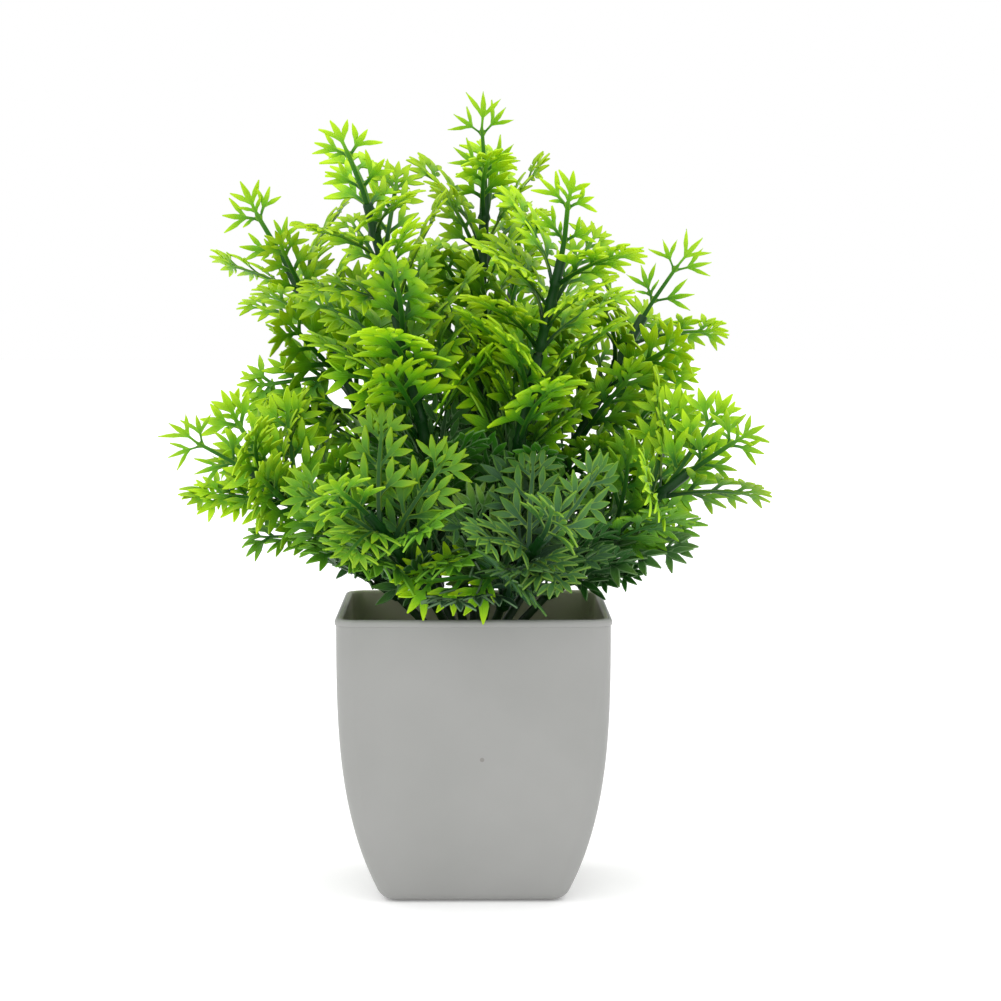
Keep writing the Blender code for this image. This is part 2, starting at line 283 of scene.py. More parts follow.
FILLINGS = {
    "ballast": porous_surface("cement", (0.30, 0.29, 0.27), (0.52, 0.51, 0.48), 320.0, 0.0004),
    "foam_plug": porous_surface("foam", (0.10, 0.12, 0.035), (0.24, 0.26, 0.10), 900.0, 0.0003),
}
for block, block_surface in FILLINGS.items():
    frame["nodes"][block].data.materials.clear()
    frame["nodes"][block].data.materials.append(block_surface)

# ---------------------------------------------------------------------------------------------------------------
# Crown. A moulded hub of dark green plastic on the foam: a dome with a ring round each stem's socket, a flange
# and, below it, the spike that holds it.

CROWN_RADIUS = 0.0130
FLANGE_RADIUS = 0.0155
FLANGE_HEIGHT = 0.0020
SPIKE_RADIUS = 0.0040
SPIKE_LENGTH = 0.0260
SPIKE_POINT = 0.0050
FLANGE_ROUND = 0.0004
DOME_STEPS = 12
CROWN_SHARP_ANGLE = 40

# The ring round a socket, as distances from its axis and heights over the ball's middle
SOCKET_RING = ((0.0019, -0.0008), (0.0029, -0.0008), (0.0027, 0.0006), (0.0023, 0.0009), (0.0019, 0.0006))

ROUND = math.radians(360)
JOINTS = {joint["name"]: joint for joint in frame["joints"]}
CROWN_MIDDLE = Vector(JOINTS["bush_lift"]["pos_m"])


def stem_root(number):
    """The frame at a stem's ball: Z along its root, X away from the bush's middle, Y on its bending axis."""
    bend = JOINTS[f"stem_{number:02d}_bend"]
    ball, side = Vector(bend["pos_m"]), Vector(bend["axis"])
    up = (ball - CROWN_MIDDLE).normalized()
    turned = Matrix((side.cross(up), side, up)).transposed().to_4x4()
    return Matrix.Translation(ball) @ turned


def dark_plastic(name, low_colour, high_colour, rib_scale):
    """Dark green moulded plastic with a fine, uneven grain."""
    surface, tree, node = new_surface(name)
    shader = tree.nodes["Principled BSDF"]
    place = node("TexCoord").outputs["Object"]
    cloud = node("TexNoise", Scale=150.0, Detail=3.0)
    tone = node("ValToRGB")
    tone.color_ramp.elements[0].position = 0.3
    tone.color_ramp.elements[0].color = (*low_colour, 1)
    tone.color_ramp.elements[1].position = 0.7
    tone.color_ramp.elements[1].color = (*high_colour, 1)
    sheen = node("MapRange")
    sheen.inputs["To Min"].default_value = 0.38
    sheen.inputs["To Max"].default_value = 0.60
    ribs = node("TexNoise", Scale=rib_scale, Detail=2.0)
    bump = node("Bump", Strength=0.3, Distance=0.0002)
    link = tree.links.new
    link(place, cloud.inputs["Vector"])
    link(place, ribs.inputs["Vector"])
    link(cloud.outputs["Fac"], tone.inputs["Fac"])
    link(tone.outputs["Color"], shader.inputs["Base Color"])
    link(cloud.outputs["Fac"], sheen.inputs["Value"])
    link(sheen.outputs["Result"], shader.inputs["Roughness"])
    link(ribs.outputs["Fac"], bump.inputs["Height"])
    link(bump.outputs["Normal"], shader.inputs["Normal"])
    return surface


def spun(profile, steps, closed):
    """A shape turned from its outline, given as distances from the axis and heights."""
    shape = bmesh.new()
    points = [shape.verts.new((x, 0, z)) for x, z in profile]
    joins = list(zip(points, points[1:] + points[:1] if closed else points[1:]))
    edges = [shape.edges.new(pair) for pair in joins]
    bmesh.ops.spin(
        shape, geom=points + edges, cent=(0, 0, 0), axis=(0, 0, 1), angle=ROUND, steps=steps, use_merge=True,
    )
    bmesh.ops.remove_doubles(shape, verts=shape.verts[:], dist=0.000001)
    bmesh.ops.recalc_face_normals(shape, faces=shape.faces[:])
    return shape


def add_to(shape, other, place):
    """Moves one shape to its place and adds it to another."""
    bmesh.ops.transform(other, matrix=place, verts=other.verts[:])
    mesh = bpy.data.meshes.new("part")
    other.to_mesh(mesh)
    other.free()
    shape.from_mesh(mesh)
    bpy.data.meshes.remove(mesh)


def shape_crown():
    """Dome, flange and spike in one turned shape, with the rings of the sockets on the dome."""
    profile = []
    for step in range(DOME_STEPS + 1):
        angle = math.radians(90 * step / DOME_STEPS)
        profile.append((CROWN_RADIUS * math.sin(angle), CROWN_RADIUS * math.cos(angle)))
    profile += [
        (FLANGE_RADIUS - FLANGE_ROUND, 0), (FLANGE_RADIUS, -FLANGE_ROUND), (FLANGE_RADIUS, -FLANGE_HEIGHT),
        (SPIKE_RADIUS, -FLANGE_HEIGHT), (SPIKE_RADIUS, SPIKE_POINT - FLANGE_HEIGHT - SPIKE_LENGTH),
        (0, -FLANGE_HEIGHT - SPIKE_LENGTH),
    ]
    shape = bmesh.new()
    add_to(shape, spun(profile, 36, False), Matrix.Translation(CROWN_MIDDLE))
    for number in range(1, 13):
        add_to(shape, spun(SOCKET_RING, 16, True), stem_root(number))
    sharpen(shape, CROWN_SHARP_ANGLE)
    return shape


crown_surface = dark_plastic("crown_plastic", (0.010, 0.034, 0.010), (0.018, 0.055, 0.016), 700.0)
add_piece("crown_hub", shape_crown(), crown_surface, "bush", "crown_plastic", "crown")

# ---------------------------------------------------------------------------------------------------------------
# Stems. Soft steel wire moulded over with dark green plastic, each with a ball at its root that snaps into the
# crown. The plastic is thinner towards the end, and ribbed along its length.

END_FROND_LENGTH = 0.0240
STEM_ROOT_RADIUS = 0.0014
STEM_END_RADIUS = 0.0009
BALL_RADIUS = 0.0017
STEM_SIDES = 12
STEM_STEPS = 24
RIB = 0.07
STEM_SHARP_ANGLE = 50

# Each stem: the distance from the crown's middle to its leaf tip, how far it droops along its length, the half
# angle that its fronds keep within, how far its fronds are turned about it, and how dusty they are
Stem = namedtuple("Stem", "reach droop spread turn dust")
STEMS = (
    Stem(0.168, 4, 10, 0, 0.0),
    Stem(0.172, 6, 10, 60, 0.0),
    Stem(0.160, 8, 10, 0, 0.0),
    Stem(0.156, 6, 10, 0, 0.0),
    Stem(0.142, 8, 10, 60, 0.0),
    Stem(0.150, 6, 10, 30, 0.0),
    Stem(0.114, 12, 14, 0, 0.1),
    Stem(0.100, 14, 14, 30, 0.25),
    Stem(0.096, 16, 14, 90, 0.9),
    Stem(0.112, 12, 14, 0, 0.2),
    Stem(0.104, 12, 14, 30, 0.0),
    Stem(0.104, 12, 14, 0, 0.0),
)


def stem_length(stem):
    """From the ball to the foot of the end frond."""
    return stem.reach - CROWN_RADIUS - END_FROND_LENGTH


def stem_radius(stem, along):
    """The stem's radius at this distance from its ball."""
    return STEM_ROOT_RADIUS + (STEM_END_RADIUS - STEM_ROOT_RADIUS) * along / stem_length(stem)


def on_stem(stem, along):
    """The frame at this distance up a stem, which is an arc in its own XZ plane."""
    turn = math.radians(stem.droop) / stem_length(stem)
    angle = turn * along
    place = Vector(((1 - math.cos(angle)) / turn, 0, math.sin(angle) / turn))
    return Matrix.Translation(place) @ Matrix.Rotation(angle, 4, "Y")


def shape_stem(stem, place):
    """A ring spun along the stem's arc, thinned towards its end and ribbed, with the ball at its root."""
    length = stem_length(stem)
    droop = math.radians(stem.droop)
    bend = length / droop
    shape = bmesh.new()
    ring = bmesh.ops.create_circle(
        shape, cap_ends=False, segments=STEM_SIDES, radius=STEM_ROOT_RADIUS,
    )["verts"]
    for number, vert in enumerate(ring):
        vert.co *= 1 - RIB * (number % 2)
    edges = shape.edges[:]
    bmesh.ops.spin(
        shape, geom=ring + edges, cent=(bend, 0, 0), axis=(0, 1, 0), angle=droop, steps=STEM_STEPS,
    )
    for vert in shape.verts:
        along = math.atan2(vert.co.z, bend - vert.co.x) * bend
        middle = on_stem(stem, along).translation
        vert.co = middle + (vert.co - middle) * stem_radius(stem, along) / STEM_ROOT_RADIUS
    bmesh.ops.holes_fill(shape, edges=shape.edges[:])
    bmesh.ops.recalc_face_normals(shape, faces=shape.faces[:])
    whole = bmesh.new()
    add_to(whole, shape, place)
    ball = bmesh.new()
    bmesh.ops.create_uvsphere(ball, u_segments=14, v_segments=8, radius=BALL_RADIUS)
    add_to(whole, ball, place)
    sharpen(whole, STEM_SHARP_ANGLE)
    return whole


stem_surface = dark_plastic("stem_plastic", (0.008, 0.030, 0.008), (0.020, 0.070, 0.016), 500.0)
for number, stem in enumerate(STEMS, 1):
    stem_name = f"stem_{number:02d}"
    add_piece(
        f"wired_{stem_name}", shape_stem(stem, stem_root(number)), stem_surface, f"branch_{number:02d}",
        "stem_plastic", stem_name,
    )

# ---------------------------------------------------------------------------------------------------------------
# Leaves. Fern fronds moulded in soft plastic, in sprays on collars that push onto the stems. The plastic is dark
# at a frond's foot and sprayed lime towards its tips, with painted shade that keeps the fronds inside and low in
# the bush darker, and its thin edges are paler, partly their own colour and partly painted light glowing through
# them.

LEAF_THICKNESS = 0.00050
RACHIS_HALF = 0.00070
PINNA_FOOT = 0.0010
FOLD = 0.32
DROOP = 0.15
RIPE_AT_FOOT_OF_END = 0.45
FROND_SHARP_ANGLE = 55
COLLAR_SHARP_ANGLE = 60

# What each point of a leaf knows for its colour: from dark foot to lime tip (with the painted shade of the inner
# and low fronds), from middle to edge (for the paler edges, partly painted light), the frond's own shade, and its
# dust
LEAF_LAYERS = ("ripe", "rim", "tone", "dust")

# Rows of a pinna and of a finger: how far along it, and its half width, as shares of its size
PINNA_ROWS = (
    (0.08, 0.048), (0.16, 0.046), (0.24, 0.046), (0.32, 0.056), (0.42, 0.084), (0.52, 0.104),
    (0.66, 0.108), (0.84, 0.064), (1.00, 0.006),
)
FINGER_ROWS = ((0.16, 0.72), (0.40, 1.00), (0.70, 0.68), (1.00, 0.06))

# Fingers of a pinna: the row that its foot starts at, its angle, its length and half width as shares, and how
# often there is one
Finger = namedtuple("Finger", "row angle length half often")
FINGERS = (Finger(3, 41, 0.60, 0.098, 1.0), Finger(0, 52, 0.38, 0.066, 0.24))

# Kinds of frond: length, pairs of pinnae, where the first and last pair stand, and the first pair's size, as
# shares of the length, how much smaller each next pair is, the angle that they stand at, and how slim they are
Kind = namedtuple("Kind", "length pairs first last pinna fall angle slim")
KINDS = {
    "low": Kind(0.030, 3, 0.22, 0.66, 0.37, 0.10, 46, 1.00),
    "mid": Kind(0.037, 3, 0.22, 0.68, 0.37, 0.10, 46, 1.00),
    "tip": Kind(0.034, 3, 0.24, 0.70, 0.36, 0.10, 44, 0.94),
    "end": Kind(0.035, 2, 0.32, 0.64, 0.32, 0.06, 50, 0.66),
}
PATTERNS = 4


def grow(shape, verts, start, heading, rows, ripe, roll=0.0):
    """Extrudes three sheet points through rows of (distance, half width). Gives every row's three points."""
    across = Vector((heading.y, -heading.x, 0))
    ripe_layer = shape.verts.layers.float["ripe"]
    rim_layer = shape.verts.layers.float["rim"]
    length = rows[-1][0]
    verts = sorted(verts, key=lambda vert: vert.co.dot(across))
    grown = []
    for distance, half in rows:
        edges = [shape.edges.get((verts[0], verts[1])), shape.edges.get((verts[1], verts[2]))]
        made = bmesh.ops.extrude_edge_only(shape, edges=edges)["geom"]
        verts = [part for part in made if isinstance(part, bmesh.types.BMVert)]
        verts.sort(key=lambda vert: vert.co.dot(across))
        share = distance / length
        for side, vert in zip((-1, 0, 1), verts):
            vert.co = start + heading * distance + across * half * side
            vert.co.z += FOLD * half * abs(side) + roll * half * side - DROOP * distance * share
            vert[ripe_layer] = ripe[0] + (ripe[1] - ripe[0]) * share
            vert[rim_layer] = abs(side)
        grown.append(verts)
    return grown


def grow_pinna(shape, verts, start, heading, size, ripe, chance, slim):
    """A stalk that widens to a middle finger, with one pair of fingers at its sides and now and then a second."""
    roll = chance.uniform(-0.35, 0.35)
    rows = [(distance * size, half * size * slim) for distance, half in PINNA_ROWS]
    grown = grow(shape, verts, start, heading, rows, ripe, roll)
    ripe_layer = shape.verts.layers.float["ripe"]
    for finger in FINGERS:
        for side, turn in ((0, 1), (2, -1)):
            if chance.random() > finger.often:
                continue
            foot = [grown[finger.row + step][side] for step in range(3)]
            angle = math.radians(finger.angle + chance.uniform(-6, 6)) * turn
            length = finger.length * size * chance.uniform(0.85, 1.12)
            finger_rows = [(d * length, h * finger.half * size * slim) for d, h in FINGER_ROWS]
            way = Matrix.Rotation(angle, 3, "Z") @ heading
            begun = foot[1][ripe_layer]
            roll = chance.uniform(-0.4, 0.4)
            grow(shape, foot, foot[1].co.copy(), way, finger_rows, (begun, ripe[1]), roll)


def thicken(shape, thickness):
    """Gives a sheet its thickness: a second skin, moved along each point's own normal."""
    shape.normal_update()
    inward = shape.verts.layers.float_vector.new("inward")
    for vert in shape.verts:
        vert[inward] = vert.normal * -thickness
    made = bmesh.ops.extrude_face_region(shape, geom=shape.faces[:], use_keep_orig=True)["geom"]
    for vert in (part for part in made if isinstance(part, bmesh.types.BMVert)):
        vert.co += vert[inward]
    shape.verts.layers.float_vector.remove(inward)


def shape_frond(kind, chance):
    """A flat frond along +Y from its foot at the origin."""
    shape = bmesh.new()
    for name in LEAF_LAYERS:
        shape.verts.layers.float.new(name)
    foot = [shape.verts.new((x, 0, 0)) for x in (-RACHIS_HALF, 0, RACHIS_HALF)]
    for pair in zip(foot, foot[1:]):
        shape.edges.new(pair)
    length = kind.length
    gap = (kind.last - kind.first) / (kind.pairs - 1)
    shares = [kind.first + gap * step for step in range(kind.pairs)]
    rows = [(length * kind.first / 2, RACHIS_HALF)]
    for share in shares:
        for step in (-1, 0, 1):
            rows.append((length * share + PINNA_FOOT * step, RACHIS_HALF * (1 - 0.3 * share)))
    ahead = Vector((0, 1, 0))
    grown = grow(shape, foot, Vector(), ahead, rows, (0.0, RIPE_AT_FOOT_OF_END))
    for number, share in enumerate(shares):
        size = length * kind.pinna * (1 - kind.fall * number)
        first = 1 + 3 * number
        for side, turn in ((0, 1), (2, -1)):
            base = [grown[first + step][side] for step in range(3)]
            angle = math.radians(kind.angle + chance.uniform(-6, 6)) * turn
            way = Matrix.Rotation(angle, 3, "Z") @ ahead
            pinna = size * chance.uniform(0.9, 1.08)
            ripe = (RIPE_AT_FOOT_OF_END * share, 1.0)
            grow_pinna(shape, base, base[1].co.copy(), way, pinna, ripe, chance, kind.slim)
    end = grown[-1][1].co.copy()
    way = Matrix.Rotation(math.radians(chance.uniform(-7, 7)), 3, "Z") @ ahead
    ripe = (RIPE_AT_FOOT_OF_END, 1.0)
    grow_pinna(shape, grown[-1], end, way, length - end.y, ripe, chance, kind.slim)
    bmesh.ops.recalc_face_normals(shape, faces=shape.faces[:])
    thicken(shape, LEAF_THICKNESS)
    bmesh.ops.recalc_face_normals(shape, faces=shape.faces[:])
    sharpen(shape, FROND_SHARP_ANGLE)
    mesh = bpy.data.meshes.new("frond")
    shape.to_mesh(mesh)
    shape.free()
    return mesh


# How one frond differs from its pattern: its size, how far it bends back and twists over its length, its shade,
# its dust, and how lime its tips are, which for most fronds also carries the painted shade of fronds inside and
# low in the bush
Look = namedtuple("Look", "scale curl twist tone dust ripest")


def add_frond(shape, pattern, length, place, look):
    """Adds a copy of a frond, bent back over its length by an angle, at its place."""
    first = len(shape.verts)
    shape.from_mesh(pattern)
    shape.verts.ensure_lookup_table()
    layers = shape.verts.layers.float
    ripe, tone, dust = layers["ripe"], layers["tone"], layers["dust"]
    curl = look.curl / (length * look.scale)
    for vert in shape.verts[first:]:
        x, y, z = vert.co * look.scale
        turn = look.twist * y / length
        x, z = x * math.cos(turn) + z * math.sin(turn), z * math.cos(turn) - x * math.sin(turn)
        if abs(curl) > 0.001:
            radius = 1 / curl
            angle = y * curl
            y, z = (radius + z) * math.sin(angle), (radius + z) * math.cos(angle) - radius
        vert.co = place @ Vector((x, y, z))
        vert[ripe] *= look.ripest
        vert[tone] = look.tone
        vert[dust] = look.dust


def frond_place(foot, lean, turn):
    """A frond's frame on its stem: its length on Y leans out from the stem's Z, its upper face is on Z."""
    upright = Matrix.Rotation(math.radians(-90), 4, "Z") @ Matrix.Rotation(math.radians(90), 4, "X")
    out = Matrix.Rotation(turn, 4, "Z") @ Matrix.Translation((foot, 0, 0))
    return out @ Matrix.Rotation(lean, 4, "Y") @ upright


def leaf_surface(name, edge_colour, edge_share):
    """Soft plastic, dark to lime by its ripeness (with painted shade on the inner and low fronds), duller with
    dust, paler at its edges (partly painted light through the thin edges) and faintly ribbed.
    """
    surface, tree, node = new_surface(name)
    shader = tree.nodes["Principled BSDF"]
    shader.inputs["Specular IOR Level"].default_value = 0.3
    place = node("TexCoord").outputs["Object"]
    ripe, rim, tone, dust = (node("Attribute", attribute_name=key) for key in LEAF_LAYERS)
    cloud = node("TexNoise", Scale=120.0, Detail=2.0)
    shift = node("MapRange")
    shift.inputs["To Min"].default_value = -0.12
    shift.inputs["To Max"].default_value = 0.12
    shifted = node("Math", operation="ADD")
    ramp = node("ValToRGB")
    greens = ((0.0, (0.003, 0.040, 0.003)), (0.35, (0.022, 0.135, 0.003)), (0.65, (0.130, 0.370, 0.001)),
              (1.0, (0.420, 0.660, 0.002)))
    while len(ramp.color_ramp.elements) < len(greens):
        ramp.color_ramp.elements.new(0.5)
    for element, (position, colour) in zip(ramp.color_ramp.elements, greens):
        element.position = position
        element.color = (*colour, 1)
    dusty = node("Mix", data_type="RGBA")
    dusty.inputs["B"].default_value = (0.025, 0.070, 0.036, 1)
    # Painted light: the thin edges are mixed towards a paler colour, partly the plastic's own and partly light
    # glowing through them.
    pale = node("Mix", data_type="RGBA")
    pale.inputs["B"].default_value = (*edge_colour, 1)
    rim_curve = node("MapRange", interpolation_type="SMOOTHSTEP")
    rim_curve.inputs["From Min"].default_value = 0.72
    rim_curve.inputs["From Max"].default_value = 1.0
    rim_curve.inputs["To Max"].default_value = edge_share
    toned = node("HueSaturation")
    value = node("MapRange")
    value.inputs["From Min"].default_value = -1.0
    value.inputs["To Min"].default_value = 0.78
    value.inputs["To Max"].default_value = 1.30
    ribs = node("Math", operation="SINE")
    ribs_count = node("Math", operation="MULTIPLY")
    ribs_count.inputs[1].default_value = 16.0
    grain = node("TexNoise", Scale=700.0, Detail=2.0)
    sheen = node("MapRange")
    sheen.inputs["To Min"].default_value = 0.34
    sheen.inputs["To Max"].default_value = 0.58
    ribbed = node("Bump", Strength=0.25, Distance=0.0002)
    fine = node("Bump", Strength=0.15, Distance=0.0002)
    link = tree.links.new
    link(place, cloud.inputs["Vector"])
    link(place, grain.inputs["Vector"])
    link(cloud.outputs["Fac"], shift.inputs["Value"])
    link(ripe.outputs["Fac"], shifted.inputs[0])
    link(shift.outputs["Result"], shifted.inputs[1])
    link(shifted.outputs[0], ramp.inputs["Fac"])
    link(ramp.outputs["Color"], dusty.inputs["A"])
    link(dust.outputs["Fac"], dusty.inputs["Factor"])
    link(rim.outputs["Fac"], rim_curve.inputs["Value"])
    link(rim_curve.outputs["Result"], pale.inputs["Factor"])
    link(dusty.outputs["Result"], pale.inputs["A"])
    link(tone.outputs["Fac"], value.inputs["Value"])
    link(value.outputs["Result"], toned.inputs["Value"])
    link(pale.outputs["Result"], toned.inputs["Color"])
    link(toned.outputs["Color"], shader.inputs["Base Color"])
    link(cloud.outputs["Fac"], sheen.inputs["Value"])
    link(sheen.outputs["Result"], shader.inputs["Roughness"])
    link(rim.outputs["Fac"], ribs_count.inputs[0])
    link(ribs_count.outputs[0], ribs.inputs[0])
    link(ribs.outputs[0], ribbed.inputs["Height"])
    link(grain.outputs["Fac"], fine.inputs["Height"])
    link(ribbed.outputs["Normal"], fine.inputs["Normal"])
    link(fine.outputs["Normal"], shader.inputs["Normal"])
    return surface


COLLAR_LENGTH = 0.0070
COLLAR_GAP = 0.0002
SLEEVE_WALL = 0.0003
NODE_OUT = 0.0005
CAP_THICKNESS = 0.0016
NODE_BELOW = 0.0012
NODE_ABOVE = 0.0014
SLEEVE_CHAMFER = ((0.0002, 0.0004), (0.0003, 0.0006))
SLEEVE_SIDES = 10
FIRST_NODE = 0.0018
NODE_MARGIN = 0.0030
END_FROND_SUNK = 0.0040

# Each spray: its name, its collar's place as a share of the stem, its fronds' length in the plain collar, how far
# it is turned from the stem's own turn, the stretch of stem that it covers, how far its fronds lean beyond the
# plain ones, the least that one may rise (as a sine), how lime its tips are, how far apart its pairs of fronds
# are, how much of its stem's dust it takes, and how far its fronds may curl down, in degrees
Spray = namedtuple("Spray", "name share length turn begin end open lowest ripest step dust curl")
SPRAYS = (
    Spray("low", 0.34, 0.027, 0, 0.14, 0.45, 6, 0.64, 0.52, 0.0074, 1.0, 12),
    Spray("mid", 0.61, 0.035, 60, 0.46, 0.76, 8, 0.44, 1.02, 0.0070, 0.9, 34),
    Spray("tip", 1.00, 0.026, 90, 0.77, 1.00, 8, 0.20, 1.14, 0.0078, 0.7, 34),
)

# A low spray starts at least this far up its stem, where it has left the pot
CLEAR_OF_POT = 0.020

# The moulded collar's own fronds lean out from the stem by an angle between these two
LEAST_LEAN = math.radians(16)
MOST_LEAN = math.radians(38)


def spray_lean(stem, along, length):
    """The lean of the moulded collar's own fronds: they keep within their stem's cone."""
    room = (CROWN_RADIUS + along + length / 2) * math.tan(math.radians(stem.spread))
    return min(max(math.asin(min(room / length, 1)), LEAST_LEAN), MOST_LEAN)


def shape_collar(inner, low, top, nodes, closed):
    """A round sleeve between two heights, a little thicker at each node where a pair of fronds grows; closed over
    the top for a tip."""
    outer = inner + SLEEVE_WALL
    (low_in, low_up), (top_in, top_down) = SLEEVE_CHAMFER
    wall = [(inner, low), (outer - low_in, low), (outer, low + low_up)]
    for height in nodes:
        wall += [(outer, height - NODE_BELOW), (outer + NODE_OUT, height), (outer, height + NODE_ABOVE)]
    wall += [(outer, top - top_down), (outer - top_in, top)]
    if closed:
        wall = [(0, top - CAP_THICKNESS), (inner, top - CAP_THICKNESS)] + wall + [(0, top)]
    else:
        wall.append((inner, top))
    shape = spun(wall, SLEEVE_SIDES, not closed)
    for name in LEAF_LAYERS:
        shape.verts.layers.float.new(name)
    return shape


# Painted shade on the lime: it is least within the first distance from the bush's middle and full beyond the
# second, and likewise below and above the two heights, so that the fronds inside and low in the bush stay darker
# as if shaded. Then the shares that are left where it is least, and how much dust dulls it.
BUSH_MIDDLE = Vector((0, 0, 0.100))
DARK_WITHIN = 0.030
LIME_BEYOND = 0.090
SHADED_BELOW = 0.090
OPEN_ABOVE = 0.140
INNER_SHARE = 0.68
LOW_SHARE = 0.70
DUST_DULLS = 0.3

# How far a frond is turned up on its stem, and the steepest that this makes it
RISE = math.radians(15)
STEEPEST = math.radians(86)

chance = random.Random(5)
fronds = {name: [shape_frond(kind, chance) for _ in range(PATTERNS)] for name, kind in KINDS.items()}
# Each spray's edge colour and share: partly the fronds' own paler edges, partly painted light through the thin
# edges.
leaf_surfaces = {
    "low": leaf_surface("leaf_low", (0.20, 0.34, 0.15), 0.50),
    "mid": leaf_surface("leaf_mid", (0.22, 0.46, 0.02), 0.20),
    "tip": leaf_surface("leaf_tip", (0.46, 0.70, 0.02), 0.20),
}


# Fronds that fill out the sides or stand away from the rest at the front: the stem and spray they are moulded to,
# how far up the stem their foot is, where they point, where their upper face looks, and their look
Loose = namedtuple("Loose", "stem spray along way face look")
LOOSE = (
    Loose(3, "mid", 0.074, (-0.93, -0.20, 0.12), (0.10, -0.90, 0.40), Look(1.00, 0.25, 0.1, 0.5, 0.0, 0.95)),
    Loose(3, "mid", 0.086, (-0.90, -0.20, 0.00), (0.20, -0.80, 0.50), Look(0.90, 0.20, -0.2, 0.3, 0.0, 1.05)),
    Loose(7, "tip", 0.066, (-0.45, -0.20, 0.85), (0.10, -0.95, 0.20), Look(1.00, 0.20, 0.1, 0.5, 0.0, 1.05)),
    Loose(7, "tip", 0.060, (-0.12, -0.25, 0.95), (-0.10, -0.95, 0.20), Look(1.00, 0.15, 0.1, 0.3, 0.0, 1.00)),
    Loose(7, "tip", 0.062, (-0.93, -0.20, 0.26), (0.10, -0.75, 0.60), Look(0.85, 0.10, 0.1, 0.6, 0.0, 1.10)),
    Loose(5, "mid", 0.070, (0.92, -0.25, 0.10), (-0.10, -0.90, 0.40), Look(0.98, 0.20, 0.1, 0.4, 0.0, 1.00)),
    Loose(5, "mid", 0.077, (0.80, -0.35, 0.40), (-0.20, -0.85, 0.30), Look(0.90, 0.15, -0.1, 0.6, 0.0, 1.05)),
    Loose(10, "tip", 0.062, (0.22, -0.20, 0.92), (0.00, -0.95, 0.20), Look(1.00, 0.20, 0.1, 0.5, 0.0, 1.05)),
    Loose(10, "tip", 0.068, (0.52, -0.20, 0.78), (0.10, -0.95, 0.20), Look(0.95, 0.15, 0.1, 0.6, 0.0, 1.05)),
    Loose(10, "low", 0.033, (0.92, -0.20, 0.36), (-0.35, -0.45, 0.85), Look(1.00, 0.10, 0.1, 0.0, 0.7, 0.80)),
    Loose(10, "low", 0.025, (0.92, -0.25, 0.34), (-0.10, -0.45, 0.85), Look(0.74, 0.10, 0.1, -0.5, 0.2, 0.38)),
    Loose(9, "mid", 0.038, (-0.95, -0.25, 0.02), (-0.10, -0.92, 0.35), Look(1.00, 0.10, 0.1, 0.6, 0.0, 1.0)),
    Loose(9, "low", 0.026, (-0.58, -0.75, 0.28), (-0.30, -0.60, 0.70), Look(0.92, 0.30, 0.2, 0.0, 1.0, 0.45)),
    Loose(9, "low", 0.018, (0.35, -0.35, 0.85), (0.10, -0.90, 0.20), Look(0.95, 0.10, 0.0, 0.3, 0.7, 0.70)),
    Loose(9, "low", 0.024, (-0.25, -0.45, 0.85), (0.10, -0.90, 0.20), Look(1.05, 0.10, 0.0, 0.6, 0.6, 0.90)),
    Loose(8, "low", 0.022, (-0.60, -0.35, 0.65), (-0.20, -0.80, 0.30), Look(0.90, 0.25, 0.0, -0.4, 0.2, 0.55)),
)


def faced_place(foot, way, face):
    """The frame at a foot point with Y along the frond and Z on its upper face."""
    ahead = Vector(way).normalized()
    up = (Vector(face) - ahead * Vector(face).dot(ahead)).normalized()
    turned = Matrix((ahead.cross(up), ahead, up)).transposed().to_4x4()
    return Matrix.Translation(foot) @ turned


def raised(spot, lowest):
    """Turns a frond's frame up about its foot, by RISE or until it points no lower than this."""
    way = spot.to_3x3() @ Vector((0, 1, 0))
    steep = math.asin(min(max(way.z, -1), 1))
    wanted = min(max(steep + RISE, math.asin(lowest)), STEEPEST)
    axis = way.cross(Vector((0, 0, 1))).normalized()
    foot = Matrix.Translation(spot.translation)
    return foot @ Matrix.Rotation(max(wanted - steep, 0), 4, axis) @ foot.inverted() @ spot


def lime_with_painted_shade(point, spray):
    """Painted shade: the outer and upper fronds are limer, and the inner ones and the lowest darker, as if in the
    bush's shade.
    """
    share = ((point - BUSH_MIDDLE).length - DARK_WITHIN) / (LIME_BEYOND - DARK_WITHIN)
    height = (point.z - SHADED_BELOW) / (OPEN_ABOVE - SHADED_BELOW)
    outward = INNER_SHARE + (1 - INNER_SHARE) * min(max(share, 0), 1)
    upward = LOW_SHARE + (1 - LOW_SHARE) * min(max(height, 0), 1)
    return spray.ripest * outward * upward


